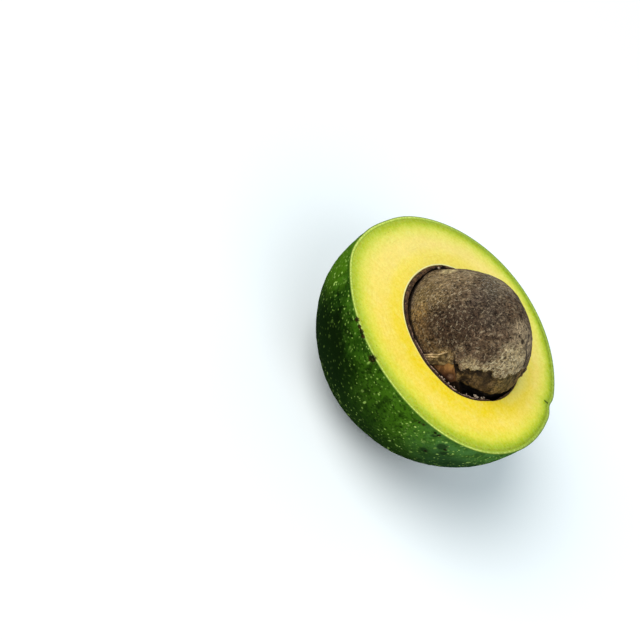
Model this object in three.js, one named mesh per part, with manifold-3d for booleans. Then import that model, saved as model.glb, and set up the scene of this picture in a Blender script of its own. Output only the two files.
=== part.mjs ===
// Half a ripe, round, green avocado with its seed still in place. It lies on its back with the
// cut face up, on the small flat spot where the skin rests.
//
// Millimetres, +Z up. +X points to the stem end of the fruit and -X to its blossom end. The
// origin is the middle of the object's footprint, at the level of the surface that it rests on.
//
// Three bodies nest like cups: the fruit half, whose skin and flesh grew as one, the brown coat
// that lines its cavity, and the seed that lies in the coat.

import * as THREE from "three";
import { mergeVertices } from "three/addons/utils/BufferGeometryUtils.js";
import Module from "manifold-3d";

const wasm = await Module();
wasm.setup();

// --- The fruit half: a globe, cut flat across a little above its middle.
const GLOBE_RADIUS = 50.05;
const FACE_ABOVE_MIDDLE = 2.2;
const REST_RADIUS = 9; // the flat spot under the fruit
const RIM_ROUND = 0.35; // the edge between skin and cut face
const LOBE_HEIGHT = 0.75; // the outline swells in three broad lobes, one near the blossom end
const LOBE_TURN = THREE.MathUtils.degToRad(184);
const BLOSSOM_HEIGHT = 0.8; // the low point where the flower was
const BLOSSOM_WIDTH = 9;
const STEM_SCAR_DEPTH = 1.4; // the dimple that the stem left, cut through its middle
const STEM_SCAR_WIDTH = 3.6;
const AXIS_X = 1.18; // the fruit's axis, seen from the middle of the footprint
const AXIS_Y = -0.15;

// --- The cavity: most of a hemisphere, a little nearer to the stem end.
const CAVITY_RADIUS = 28.8;
const CAVITY_X = AXIS_X + 2.8;
const CAVITY_Y = AXIS_Y + 0.8;
const LIP_ROUND = 0.3;

// --- The seed lies against one side of its cavity, so the coat is thin there and thick opposite.
const LEAN = THREE.MathUtils.degToRad(-24);
const GAP = 0.3; // between bodies that touch
const COAT_HOLLOW_RADIUS = 26.9;
const COAT_HOLLOW_SHIFT = 1;
const COAT_STAND = 0.5; // the coat's edge stands proud of the cut face, most where it is thick
const COAT_STAND_CHANGE = 0.25;

const SEED_RADIUS = 26;
const SEED_FOOT_DEPTH = 26.5; // from its widest girth down to its foot
const SEED_SHIFT = 1.6;
const SEED_LUMP = 0.3; // soft swellings on the side that shows
const TORN_DEPTH = 0.7; // a shallow hollow where the seed's own skin is torn away
const TORN_WIDTH = 7;
const TORN_TURN = THREE.MathUtils.degToRad(-72);
const TORN_RISE = THREE.MathUtils.degToRad(14);

// --- Fineness of the facets.
const FRUIT_SIDES = 96;
const CAVITY_SIDES = 64;
const COAT_SIDES = 56;
const SEED_SIDES = 48;
const SKIN_STEPS = 15;
const CAVITY_STEPS = 9;
const SEED_STEPS = 11;
const ROUND_STEPS = 2;

const middleZ = Math.sqrt(GLOBE_RADIUS ** 2 - REST_RADIUS ** 2);
const faceZ = middleZ + FACE_ABOVE_MIDDLE;
const leanX = Math.cos(LEAN);
const leanY = Math.sin(LEAN);

// Points (radius, height) along an arc. Angles run from the outward direction.
function arc(centre, radiusX, radiusZ, from, to, steps) {
  const points = [];
  for (let i = 0; i <= steps; i++) {
    const angle = from + ((to - from) * i) / steps;
    const radius = Math.max(0, centre.x + radiusX * Math.cos(angle));
    points.push(new THREE.Vector2(radius, centre.y + radiusZ * Math.sin(angle)));
  }
  return points;
}

// Turns a profile round +Z, from its lowest point to its highest, and shapes each point.
function turned(profile, sides, shape) {
  const geometry = new THREE.LatheGeometry(profile, sides);
  geometry.rotateX(Math.PI / 2);
  const places = geometry.getAttribute("position");
  const point = new THREE.Vector3();
  for (let i = 0; i < places.count; i++) {
    point.fromBufferAttribute(places, i);
    shape(point);
    places.setXYZ(i, point.x, point.y, point.z);
  }
  geometry.computeVertexNormals();
  return geometry;
}

function solidOf(geometry) {
  const bare = geometry.clone();
  bare.deleteAttribute("normal");
  bare.deleteAttribute("uv");
  const merged = mergeVertices(bare, 1e-4);
  return new wasm.Manifold(
    new wasm.Mesh({
      numProp: 3,
      vertProperties: merged.getAttribute("position").array,
      triVerts: new Uint32Array(merged.index.array),
    }),
  );
}

function geometryOf(solid) {
  const { vertProperties, triVerts } = solid.getMesh();
  const geometry = new THREE.BufferGeometry();
  geometry.setAttribute("position", new THREE.BufferAttribute(vertProperties, 3));
  geometry.setIndex(new THREE.BufferAttribute(triVerts, 1));
  geometry.computeVertexNormals();
  return geometry;
}

// A soft hill, 1 high in its middle.
function hill(distance, width) {
  return Math.exp(-((distance / width) ** 2));
}

// --- Fruit half.

const blossomEnd = new THREE.Vector3(
  GLOBE_RADIUS * Math.cos(LOBE_TURN),
  GLOBE_RADIUS * Math.sin(LOBE_TURN),
  faceZ,
);
const stemEnd = new THREE.Vector3(GLOBE_RADIUS, 0, faceZ);

// The globe is a turned body, so its swellings are added along the radius.
function shapeSkin(point) {
  const radius = Math.hypot(point.x, point.y);
  if (radius > 0) {
    const turn = Math.atan2(point.y, point.x);
    const lobes = LOBE_HEIGHT * Math.cos(3 * (turn - LOBE_TURN)) * (radius / GLOBE_RADIUS);
    const blossom = BLOSSOM_HEIGHT * hill(point.distanceTo(blossomEnd), BLOSSOM_WIDTH);
    const stemScar = STEM_SCAR_DEPTH * hill(point.distanceTo(stemEnd), STEM_SCAR_WIDTH);
    const swollen = (radius + lobes + blossom - stemScar) / radius;
    point.x *= swollen;
    point.y *= swollen;
  }
  point.x += AXIS_X;
  point.y += AXIS_Y;
}

function shapeCavity(point) {
  point.x += CAVITY_X;
  point.y += CAVITY_Y;
}

function makeGlobe() {
  const middle = new THREE.Vector2(0, middleZ);
  const restAngle = -Math.acos(REST_RADIUS / GLOBE_RADIUS);
  const rimAngle = Math.asin((FACE_ABOVE_MIDDLE - RIM_ROUND) / GLOBE_RADIUS);
  const rimRadius = GLOBE_RADIUS * Math.cos(rimAngle) - RIM_ROUND;
  const rim = new THREE.Vector2(rimRadius, faceZ - RIM_ROUND);
  const profile = [
    new THREE.Vector2(0, 0),
    ...arc(middle, GLOBE_RADIUS, GLOBE_RADIUS, restAngle, rimAngle, SKIN_STEPS),
    ...arc(rim, RIM_ROUND, RIM_ROUND, 0, Math.PI / 2, ROUND_STEPS).slice(1),
    new THREE.Vector2(0, faceZ),
  ];
  return turned(profile, FRUIT_SIDES, shapeSkin);
}

// What is cut out for the seed and its coat, with a rounded lip, and a little above the face.
function makeCavity() {
  const middle = new THREE.Vector2(0, middleZ);
  const lipAngle = Math.asin((FACE_ABOVE_MIDDLE - LIP_ROUND) / CAVITY_RADIUS);
  const lipRadius = CAVITY_RADIUS * Math.cos(lipAngle) + LIP_ROUND;
  const lip = new THREE.Vector2(lipRadius, faceZ - LIP_ROUND);
  const profile = [
    ...arc(middle, CAVITY_RADIUS, CAVITY_RADIUS, -Math.PI / 2, lipAngle, CAVITY_STEPS),
    ...arc(lip, LIP_ROUND, LIP_ROUND, Math.PI, Math.PI / 2, ROUND_STEPS).slice(1),
    new THREE.Vector2(lipRadius, faceZ + 1),
    new THREE.Vector2(0, faceZ + 1),
  ];
  return turned(profile, CAVITY_SIDES, shapeCavity);
}

function makeFruitHalf() {
  return geometryOf(solidOf(makeGlobe()).subtract(solidOf(makeCavity())));
}

// --- Seed coat: a cup between two spheres that don't share a centre.

function makeCoat() {
  const middle = new THREE.Vector2(0, middleZ);
  const outerRadius = CAVITY_RADIUS - GAP;
  const standAngle = Math.asin((FACE_ABOVE_MIDDLE + COAT_STAND) / outerRadius);
  const outside = [
    ...arc(middle, outerRadius, outerRadius, -Math.PI / 2, standAngle, CAVITY_STEPS),
    new THREE.Vector2(0, faceZ + COAT_STAND),
  ];
  const cup = turned(outside, COAT_SIDES, (point) => {
    if (point.z > faceZ) {
      const thickSide = -(point.x * leanX + point.y * leanY) / outerRadius;
      point.z += COAT_STAND_CHANGE * thickSide;
    }
    shapeCavity(point);
  });
  const hollowAngle = Math.asin(FACE_ABOVE_MIDDLE / COAT_HOLLOW_RADIUS);
  const mouthRadius = COAT_HOLLOW_RADIUS * Math.cos(hollowAngle);
  const inside = [
    ...arc(middle, COAT_HOLLOW_RADIUS, COAT_HOLLOW_RADIUS, -Math.PI / 2, hollowAngle, CAVITY_STEPS),
    new THREE.Vector2(mouthRadius, faceZ + 2),
    new THREE.Vector2(0, faceZ + 2),
  ];
  const hollow = turned(inside, COAT_SIDES, (point) => {
    point.x += COAT_HOLLOW_SHIFT * leanX;
    point.y += COAT_HOLLOW_SHIFT * leanY;
    shapeCavity(point);
  });
  return geometryOf(solidOf(cup).subtract(solidOf(hollow)));
}

// --- Seed.

const tornPlace = new THREE.Vector3(
  SEED_RADIUS * Math.cos(TORN_RISE) * Math.cos(TORN_TURN),
  SEED_RADIUS * Math.cos(TORN_RISE) * Math.sin(TORN_TURN),
  middleZ + SEED_RADIUS * Math.sin(TORN_RISE),
);

function makeSeed() {
  const middle = new THREE.Vector2(0, middleZ);
  const profile = [
    ...arc(middle, SEED_RADIUS, SEED_FOOT_DEPTH, -Math.PI / 2, 0, SEED_STEPS),
    ...arc(middle, SEED_RADIUS, SEED_RADIUS, 0, Math.PI / 2, SEED_STEPS).slice(1),
  ];
  return turned(profile, SEED_SIDES, (point) => {
    const rise = (point.z - middleZ) / SEED_RADIUS;
    const turn = Math.atan2(point.y, point.x);
    const shown = THREE.MathUtils.smoothstep(rise, 0, 0.5);
    const lump = SEED_LUMP * shown * Math.sqrt(Math.max(0, 1 - rise * rise)) * Math.cos(3 * turn + 1);
    const torn = TORN_DEPTH * hill(point.distanceTo(tornPlace), TORN_WIDTH);
    const grown = 1 + (lump - torn) / SEED_RADIUS;
    point.x = point.x * grown + SEED_SHIFT * leanX;
    point.y = point.y * grown + SEED_SHIFT * leanY;
    point.z = middleZ + (point.z - middleZ) * grown;
    shapeCavity(point);
  });
}

// --- The object.

function named(name, geometry, color, roughness) {
  const material = new THREE.MeshStandardMaterial({ color, roughness, metalness: 0 });
  const mesh = new THREE.Mesh(geometry, material);
  mesh.name = name;
  return mesh;
}

const avocadoHalf = new THREE.Group();
avocadoHalf.add(named("fruit_half", makeFruitHalf(), 0xefdc6a, 0.45));
avocadoHalf.add(named("seed_coat", makeCoat(), 0x533e23, 0.8));
avocadoHalf.add(named("seed", makeSeed(), 0x5a4a38, 0.85));

export default avocadoHalf;
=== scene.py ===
import math

import bmesh
import bpy
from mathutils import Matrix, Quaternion, Vector, noise


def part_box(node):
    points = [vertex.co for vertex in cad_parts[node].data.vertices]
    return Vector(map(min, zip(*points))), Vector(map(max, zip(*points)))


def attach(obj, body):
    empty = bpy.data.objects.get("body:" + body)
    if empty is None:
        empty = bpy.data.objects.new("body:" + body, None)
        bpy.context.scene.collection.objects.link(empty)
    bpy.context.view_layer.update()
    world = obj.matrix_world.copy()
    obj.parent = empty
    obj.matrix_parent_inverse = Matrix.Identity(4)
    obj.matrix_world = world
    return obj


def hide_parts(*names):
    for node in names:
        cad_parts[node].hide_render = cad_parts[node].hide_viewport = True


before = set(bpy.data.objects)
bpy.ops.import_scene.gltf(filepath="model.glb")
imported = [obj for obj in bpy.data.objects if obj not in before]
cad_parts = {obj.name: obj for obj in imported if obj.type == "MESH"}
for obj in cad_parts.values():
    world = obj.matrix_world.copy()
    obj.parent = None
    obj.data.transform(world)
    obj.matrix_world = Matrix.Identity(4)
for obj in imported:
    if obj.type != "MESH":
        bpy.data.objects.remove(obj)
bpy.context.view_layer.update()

# --------------
# Flesh. The fruit's soft body, cut flat across: egg yellow by the seed, pale yellow in the
# middle and lime green under the skin. It grew in one with the skin, which backs it all over.
# --------------
MM = 0.001
SIDES = 480
FACE_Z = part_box("fruit_half")[1].z / MM
FACE_ABOVE_MIDDLE = 2.2
MIDDLE_Z = FACE_Z - FACE_ABOVE_MIDDLE
GLOBE_RADIUS = 50.05
GLOBE_MIDDLE = Vector((0, 0, MIDDLE_Z))
REST_RADIUS = 9
SKIN_THICKNESS = 1.4
CAVITY_RADIUS = 28.8
FRUIT_AXIS = Vector((1.48, -0.03, 0))
CAVITY_AXIS = Vector((3.98, 0.65, 0))
LOBE_HEIGHT = 0.75
BLOSSOM_TURN = math.radians(184)
BLOSSOM_HEIGHT, BLOSSOM_WIDTH = 0.8, 9
# Where the flank is fuller or flatter: turn and rise in degrees, width and height of the swelling.
FLANKS = ((-178, -27, 18, 1.9), (153, -3, 9, -0.7), (-133, -50, 26, 2.0))
STEM_SCAR_DEPTH, STEM_SCAR_WIDTH = 1.1, 3.2
STRAND, STRAND_STRETCH = Vector((48.4, 0.2, FACE_Z)), (0.42, 1.6, 0)
FACE_ROUND = 0.12
LIP_ROUND = 0.15
# The cavity isn't quite round: turn in degrees, width of the stretch, and how far it lies out.
LIP_SWELLINGS = ((165, 22, -0.6), (124, 15, 0.6), (-82, 14, 0.55), (-50, 10, -0.4), (-123, 9, -0.3))
LIP_INSET = 0.15
# How deep under the face these swellings start, and from where up they are full.
LIP_FOOT_DEPTH, LIP_HEAD_DEPTH = 6, 1
# Rings of vertices on the side, the rim's edge, the face, the lip and the cavity's wall.
SIDE_RINGS, RIM_RINGS, FACE_RINGS, LIP_RINGS, WALL_RINGS = 14, 3, 44, 4, 26
# The slight waves that a knife leaves: how many to a millimetre, and their height.
KNIFE_WAVES = ((0.09, 0.16), (0.35, 0.05))
# Where the cavity's wall lies on the scale of from_cavity, in millimetres.
WALL_AT = 0.1


def hill(distance, width):
    return math.exp(-((distance / width) ** 2))


def on_globe(turn, rise, radius):
    """A point on a globe, from degrees round it and above its girth."""
    turn, rise = math.radians(turn), math.radians(rise)
    level = math.cos(rise)
    return Vector((math.cos(turn) * level, math.sin(turn) * level, math.sin(rise))) * radius


def smooth(low, high, value):
    t = min(1, max(0, (value - low) / (high - low)))
    return t * t * (3 - 2 * t)


def bumpy(point, layers):
    """Layers of noise added up. Each: how fast it changes from place to place, and its height."""
    return sum(height * noise.noise(point * pace) for pace, height in layers)


def outward(point, axis):
    """The level direction from an upright axis to a point, and the distance."""
    away = Vector((point.x - axis.x, point.y - axis.y, 0))
    return (away.normalized() if away.length else Vector((1, 0, 0))), away.length


def swelling(point):
    """How far the skin stands off a plain globe: flanks, lobes, a blossom end, a stem scar."""
    way, radius = outward(point, Vector((0, 0, 0)))
    turn = math.atan2(way.y, way.x)
    blossom = GLOBE_RADIUS * Vector((math.cos(BLOSSOM_TURN), math.sin(BLOSSOM_TURN), 0))
    blossom.z = FACE_Z
    stem = Vector((GLOBE_RADIUS, 0, FACE_Z))
    flanks = sum(
        height * hill((point - GLOBE_MIDDLE - on_globe(at, rise, GLOBE_RADIUS)).length, width)
        for at, rise, width, height in FLANKS
    )
    return (
        flanks
        + LOBE_HEIGHT * math.cos(3 * (turn - BLOSSOM_TURN)) * radius / GLOBE_RADIUS
        + BLOSSOM_HEIGHT * hill((point - blossom).length, BLOSSOM_WIDTH)
        - STEM_SCAR_DEPTH * hill((point - stem).length, STEM_SCAR_WIDTH)
    )


def lip_swelling(way):
    """How far the cavity's wall lies out, close under the cut face, beside a round one."""
    turn = math.degrees(math.atan2(way.y, way.x))
    return sum(
        out * hill((turn - at + 180) % 360 - 180, width) for at, width, out in LIP_SWELLINGS
    ) - LIP_INSET


def in_fruit(point):
    """Takes a point of the plain globe to its place. The cavity's own axis lies off the fruit's."""
    depth = (point - GLOBE_MIDDLE).length
    inner, outer = CAVITY_RADIUS, GLOBE_RADIUS - SKIN_THICKNESS
    share = min(1, max(0, (depth - inner) / (outer - inner)))
    way, _ = outward(point, Vector((0, 0, 0)))
    near_face = smooth(FACE_Z - LIP_FOOT_DEPTH, FACE_Z - LIP_HEAD_DEPTH, point.z)
    lip = lip_swelling(way) * (1 - share) ** 4 * near_face
    return point + CAVITY_AXIS.lerp(FRUIT_AXIS, share) + way * (swelling(point) * share + lip)


def arc(radius_at, z_at, radius, start, end, steps):
    """Points (radius, height) on an arc. Its angles are radians up from level and outward."""
    angles = [start + (end - start) * i / steps for i in range(steps + 1)]
    return [(radius_at + radius * math.cos(a), z_at + radius * math.sin(a)) for a in angles]


def turned(profile):
    """A closed body of revolution round the Z axis, in millimetres."""
    bm = bmesh.new()
    ring = [bm.verts.new((max(0, r), 0, z)) for r, z in profile]
    edges = [bm.edges.new(pair) for pair in zip(ring, ring[1:])]
    bmesh.ops.spin(
        bm, geom=ring + edges, cent=(0, 0, 0), axis=(0, 0, 1), angle=math.tau, steps=SIDES,
        use_merge=True,
    )
    bmesh.ops.remove_doubles(bm, verts=bm.verts, dist=1e-4)
    bmesh.ops.recalc_face_normals(bm, faces=bm.faces)
    return bm


def finished(bm, name, slot, *nodes, **attributes):
    """Turns a bmesh in millimetres into a piece that stands for CAD nodes."""
    mesh = bpy.data.meshes.new(name)
    bmesh.ops.scale(bm, vec=(MM, MM, MM), verts=bm.verts)
    bm.to_mesh(mesh)
    bm.free()
    for label, values in attributes.items():
        layer = mesh.attributes.new(label, "FLOAT", "POINT")
        layer.data.foreach_set("value", values)
    mesh.shade_smooth()
    piece = bpy.data.objects.new(name, mesh)
    bpy.context.scene.collection.objects.link(piece)
    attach(piece, "root")
    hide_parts(*nodes)
    return piece


def linear(red, green, blue):
    """A colour given as screen values from 0 to 255."""
    parts = [c / 255 for c in (red, green, blue)]
    return (*[c / 12.92 if c < 0.04045 else ((c + 0.055) / 1.055) ** 2.4 for c in parts], 1)


class Term:
    """A number that a shader works out. Python's operators on it add Math nodes."""

    def __init__(self, paint, socket):
        self.paint, self.socket = paint, socket

    def math(self, operation, *others):
        values = dict(enumerate((self, *others)))
        return self.paint.node("ShaderNodeMath", {"operation": operation}, values)

    def __add__(self, other):
        return self.math("ADD", other)

    def __sub__(self, other):
        return self.math("SUBTRACT", other)

    def __rsub__(self, other):
        return (self * -1).math("ADD", other)

    def __mul__(self, other):
        return self.math("MULTIPLY", other)

    def __truediv__(self, other):
        return self.math("DIVIDE", other)

    __radd__, __rmul__ = __add__, __mul__

    def between(self, low, high):
        """0 below low, 1 above high, smooth between. The other way round if low is above high."""
        settings = {"interpolation_type": "SMOOTHSTEP"}
        values = {"Value": self, "From Min": min(low, high), "From Max": max(low, high)}
        step = self.paint.node("ShaderNodeMapRange", settings, values)
        return 1 - step if low > high else step


class Paint:
    """One material: its shader's nodes, made by node(), and its Principled shader."""

    def __init__(self, name, **constants):
        self.material = bpy.data.materials.new(name)
        self.material.use_nodes = True
        self.tree = self.material.node_tree
        self.shader = self.tree.nodes["Principled BSDF"]
        for socket, value in constants.items():
            self.shader.inputs[socket.replace("_", " ")].default_value = value
        self.place = self.node("ShaderNodeTexCoord", {}, {}, "Object")

    def node(self, kind, settings, values, output=0):
        made = self.tree.nodes.new(kind)
        for key, setting in settings.items():
            setattr(made, key, setting)
        for key, value in values.items():
            self.join(value, made.inputs[key])
        return Term(self, made.outputs[output])

    def join(self, value, socket):
        if isinstance(value, Term):
            self.tree.links.new(value.socket, socket)
        else:
            socket.default_value = value

    def feed(self, **sockets):
        for socket, value in sockets.items():
            self.join(value, self.shader.inputs[socket.replace("_", " ")])

    def vector(self, operation, *values, output=0):
        settings = {"operation": operation}
        return self.node("ShaderNodeVectorMath", settings, dict(enumerate(values)), output)

    def drawn_out(self, way, times):
        """The place, squeezed so that a texture on it is drawn out along a direction."""
        turn = Vector((0, 1, 0)).rotation_difference(Vector(way)).to_euler()
        values = {"Vector": self.place, "Rotation": turn, "Scale": (1, times, 1)}
        return self.node("ShaderNodeMapping", {"vector_type": "TEXTURE"}, values)

    def distance(self, point, stretch=(1, 1, 1)):
        """How far the place is from a point, in millimetres, with a stretch along each axis."""
        away = self.vector("ADD", self.place, tuple(point * -MM))
        away = self.vector("MULTIPLY", away, stretch)
        return self.vector("LENGTH", away, output="Value") / MM

    def noise(self, size, detail=3, rough=0.5, at=None, output=0):
        """Soft noise from 0 to 1 with spots of about this size, in millimetres."""
        values = {"Vector": at or self.place, "Scale": 1 / (size * MM)}
        values |= {"Detail": detail, "Roughness": rough}
        return self.node("ShaderNodeTexNoise", {}, values, output)

    def cells(self, size, at=None, output="Distance"):
        """Cells of about this size: how far the place is from its cell's middle, or a colour."""
        values = {"Vector": at or self.place, "Scale": 1 / (size * MM)}
        return self.node("ShaderNodeTexVoronoi", {}, values, output)

    def mix(self, share, first, second, blend="MIX"):
        settings = {"data_type": "RGBA", "blend_type": blend}
        return self.node("ShaderNodeMix", settings, {0: share, 6: first, 7: second}, 2)

    def shaded(self, color, amount, dark, light):
        """A colour times something between two shades, as the amount goes from 0 to 1."""
        return self.mix(1.0, color, self.mix(amount, (*dark, 1), (*light, 1)), "MULTIPLY")

    def most(self, terms):
        """The highest of several terms."""
        highest = None
        for term in terms:
            highest = term if highest is None else highest.math("MAXIMUM", term)
        return highest

    def bump(self, height, depth, under=None):
        """Relief of this depth in millimetres where height goes from 0 to 1."""
        values = {"Height": height, "Distance": depth * MM}
        if under:
            values["Normal"] = under
        return self.node("ShaderNodeBump", {}, values)

    def attribute(self, name):
        return self.node("ShaderNodeAttribute", {"attribute_name": name}, {}, "Fac")

    def height_between(self, low, high):
        """0 below one height in millimetres, 1 above another, or the other way round."""
        height = self.node("ShaderNodeSeparateXYZ", {}, {"Vector": self.place}, "Z")
        return height.between(low * MM, high * MM)

    def toward(self, turn):
        """-1 to 1 across the fruit, rising towards a turn given in degrees."""
        turn = math.radians(turn)
        way = (math.cos(turn) / GLOBE_RADIUS / MM, math.sin(turn) / GLOBE_RADIUS / MM, 0)
        return self.vector("DOT_PRODUCT", self.place, way, output="Value")

    def bent(self, size, reach):
        """The place, pushed about by soft noise of this size, up to this far, in millimetres."""
        push = self.noise(size, 2, output="Color")
        return self.vector("MULTIPLY_ADD", push, (reach * MM,) * 3, self.place)

    def strands(self, size, ways, times, low, high):
        """Thin crossing fibres: soft noise, drawn out along each of several directions."""
        return self.most(
            self.noise(size, 2, 0.6, at=self.drawn_out(way, times)).between(low, high)
            for way in ways
        )


def flesh_profile():
    """From the foot of the body, up its side, in over the cut face and down the cavity."""
    outer = GLOBE_RADIUS - SKIN_THICKNESS
    foot = math.sqrt(outer**2 - (MIDDLE_Z - SKIN_THICKNESS) ** 2)
    rim = math.asin((FACE_ABOVE_MIDDLE - FACE_ROUND) / outer)
    lip = math.asin((FACE_ABOVE_MIDDLE - LIP_ROUND) / CAVITY_RADIUS)
    side = arc(0, MIDDLE_Z, outer, -math.acos(foot / outer), rim, SIDE_RINGS)
    rim_radius = side[-1][0] - FACE_ROUND
    lip_radius = CAVITY_RADIUS * math.cos(lip) + LIP_ROUND
    quarter = math.pi / 2
    edge = arc(rim_radius, FACE_Z - FACE_ROUND, FACE_ROUND, 0, quarter, RIM_RINGS)
    lip_edge = arc(lip_radius, FACE_Z - LIP_ROUND, LIP_ROUND, quarter, 2 * quarter, LIP_RINGS)
    across = [
        (rim_radius + (lip_radius - rim_radius) * i / FACE_RINGS, FACE_Z)
        for i in range(1, FACE_RINGS)
    ]
    wall = arc(0, MIDDLE_Z, CAVITY_RADIUS, lip, -quarter, WALL_RINGS)
    return [(0, SKIN_THICKNESS), *side, *edge[1:], *across, *lip_edge, *wall[1:]]


def depth_under_skin(bm):
    """How far each vertex lies in from the skin, measured level, at the cut face."""
    depths = []
    for vert in bm.verts:
        way, radius = outward(vert.co, FRUIT_AXIS)
        rim = way * GLOBE_RADIUS + Vector((0, 0, FACE_Z))
        depths.append(GLOBE_RADIUS + swelling(rim) - radius)
    return depths


def make_flesh():
    bm = turned(flesh_profile())
    for vert in bm.verts:
        vert.co = in_fruit(vert.co)
        on_face = smooth(FACE_Z - 1, FACE_Z - 0.2, vert.co.z)
        vert.co.z += on_face * bumpy(vert.co, KNIFE_WAVES)
    from_cavity = []
    for vert in bm.verts:
        way, radius = outward(vert.co, CAVITY_AXIS)
        from_cavity.append(radius - CAVITY_RADIUS - lip_swelling(way) + WALL_AT)
    return finished(
        bm, "flesh", "flesh", "fruit_half",
        under_skin=depth_under_skin(bm), from_cavity=from_cavity,
    )


def paint_flesh():
    paint = Paint(
        "cut flesh", Subsurface_Weight=0.1, Subsurface_Scale=0.001, Specular_IOR_Level=0.03
    )
    under_skin, from_cavity = paint.attribute("under_skin"), paint.attribute("from_cavity")
    stem_side, low_side = paint.toward(20), paint.toward(280)

    # Green fades into yellow over a ragged border, which is wider towards the stem.
    ragged = (paint.noise(5, 4, 0.6) - 0.5) * 2.2 + (paint.noise(1.1, 3) - 0.5) * 1.2
    depth = under_skin + ragged * under_skin.between(1.4, 4)
    share = depth / (18.6 - stem_side * 1.1)
    stem_green = stem_side.between(-0.2, 0.9) + paint.toward(125).between(0.6, 1.0) * 0.5
    stem_green = stem_green.math("MINIMUM", 1.0)
    yellow = paint.mix(low_side.between(-0.7, 0.8), linear(241, 217, 120), linear(241, 212, 74))
    line = paint.mix(stem_green, linear(164, 182, 42), linear(122, 150, 8))
    lime = paint.mix(stem_green, linear(176, 193, 44), linear(160, 184, 20))
    lime = paint.mix(paint.toward(-62).between(0.5, 0.95) * 0.8, lime, linear(150, 174, 8))
    pale_lime = paint.mix(low_side.between(-0.5, 0.8), linear(220, 214, 90), linear(218, 211, 56))
    color = paint.mix(share.between(0.1, 0.2), line, lime)
    color = paint.mix(share.between(0.14, 0.36), color, pale_lime)
    color = paint.mix(share.between(0.28, 0.62), color, yellow)

    # Deeper yellow round the seed, deepest on the low side, painted light beside the seed, and a
    # thin painted highlight along the cavity's lip.
    inner_ragged = (paint.noise(7, 4) - 0.5) * 3.0 + (paint.noise(1.6, 3) - 0.5) * 1.0
    near = from_cavity + inner_ragged * from_cavity.between(0.8, 4)
    yolk = paint.mix(low_side.between(-0.6, 0.6), linear(242, 219, 84), linear(236, 205, 6))
    color = paint.mix(near.between(9.6, 4.2) * (0.85 + low_side * 0.15), color, yolk)
    # Painted light: paler yellow beside the seed, where the seed's shadow falls on the face.
    painted_light_beside_seed = from_cavity.between(6, 1) * paint.toward(22).between(0.35, 0.75)
    color = paint.mix(painted_light_beside_seed * 0.9, color, linear(255, 238, 128))
    # Painted highlight: a thin pale line along the cavity's lip, broken on one side.
    lip = from_cavity.between(0.8, 0.5) * from_cavity.between(0.1, 0.3)
    painted_lip_highlight = lip * paint.toward(150).between(-0.5, 0.5)
    color = paint.mix(painted_lip_highlight, color, linear(243, 234, 172))
    seam = from_cavity.between(0.3, 0.05) * paint.noise(2.5, 3).between(0.3, 0.6)
    color = paint.mix(seam * 0.8, color, linear(120, 88, 36))

    # The dark broken line just under the cut rind.
    vein = under_skin.between(1.5, 1.7) * under_skin.between(2.3, 1.9)
    vein = vein * paint.noise(1.3, 3, 0.7).between(0.44, 0.6) * (0.55 + low_side * 0.45)
    color = paint.mix(vein * 0.7, color, linear(110, 118, 24))

    # Cloudy paler patches, faint growth rings, and fine specks of cut fibres.
    cloudy = paint.noise(4.5, 5, 0.65).between(0.45, 0.75)
    color = paint.mix(cloudy * under_skin.between(3, 8) * 0.2, color, linear(250, 238, 160))
    grain = paint.noise(1, 3, 0.7).between(0.3, 0.7)
    color = paint.mix(0.13, color, paint.mix(grain, linear(176, 150, 20), linear(255, 250, 160)))
    ripple = from_cavity + (paint.noise(11, 2) - 0.5) * 3.2
    rings = (ripple * 3.1).math("SINE").between(0.72, 1.0)
    rings = rings + (ripple * 7.4).math("SINE").between(0.8, 1.0)
    ringed = rings * paint.noise(9, 2).between(0.46, 0.62) * paint.toward(185).between(-0.3, 0.6)
    color = paint.mix(ringed * 0.13, color, linear(206, 160, 52))
    speck = paint.cells(1.9, paint.bent(1.2, 0.8)).between(0.2, 0.1)
    speck = speck * paint.cells(1.9, paint.bent(1.2, 0.8), output="Color").between(0.6, 0.64)
    green_third = under_skin.between(1.5, 2.5) * under_skin.between(11, 4)
    color = paint.mix(speck * green_third * 0.55, color, linear(150, 140, 40))
    tan_fleck = paint.noise(1.5, 4, 0.75).between(0.66, 0.74) * paint.toward(200).between(-0.2, 0.7)
    color = paint.mix(tan_fleck * 0.4, color, linear(196, 146, 58))

    # The stem's strand, cut through, enters at the stem scar.
    strand = paint.distance(STRAND, STRAND_STRETCH)
    strand = strand + (paint.noise(1, 3) - 0.5) * 0.8
    color = paint.mix(strand.between(1.1, 0.6) * 0.9, color, linear(62, 84, 18))

    pores = paint.cells(0.9).between(0.05, 0.22)
    smear = paint.noise(1.2, 4, 0.6, at=paint.drawn_out((0.5, 0.87, 0), 3))
    relief = paint.bump(paint.noise(0.5, 3, 0.6), 0.06)
    relief = paint.bump(smear, 0.16, relief)
    relief = paint.bump(pores, 0.04, relief)
    paint.feed(
        Base_Color=color,
        Roughness=0.34 + paint.noise(3, 3) * 0.2,
        Normal=relief,
    )
    return paint.material


flesh = make_flesh()
flesh.data.materials.append(paint_flesh())

# --------------
# Skin. A thin, tough, glossy green rind with pale breathing dots, a few dark bruises and brown
# scars. It was cut through with the flesh, so its edge shows as a pale line round the face.
# --------------
RIM_ROUND = 0.2
SKIN_RINGS, SKIN_EDGE_RINGS = 124, 4
# Soft pebbles, a few millimetres across, over slow dents: changes to a millimetre, and height.
SKIN_BUMPS = ((0.42, 0.11), (0.95, 0.045), (0.07, 0.35))
SKIN_SUNK = 0.3
# Painted shade, dull dark patches on the skin: turn and rise in degrees, reach, and strength.
PAINTED_SHADE_PATCHES = ((-146, -24, 28, 0.95), (-120, -13, 18, 0.42))
# Layers of breathing dots: size of the cells that may hold one, how much of a cell it fills, how
# few of the cells have one, and how far the place is squeezed, which draws dots out upwards.
DOTS = ((2.3, 0.25, 0.3, 1.0), (1.6, 0.28, 0.4, 1.0), (2.8, 0.23, 0.4, 0.45))
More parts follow.
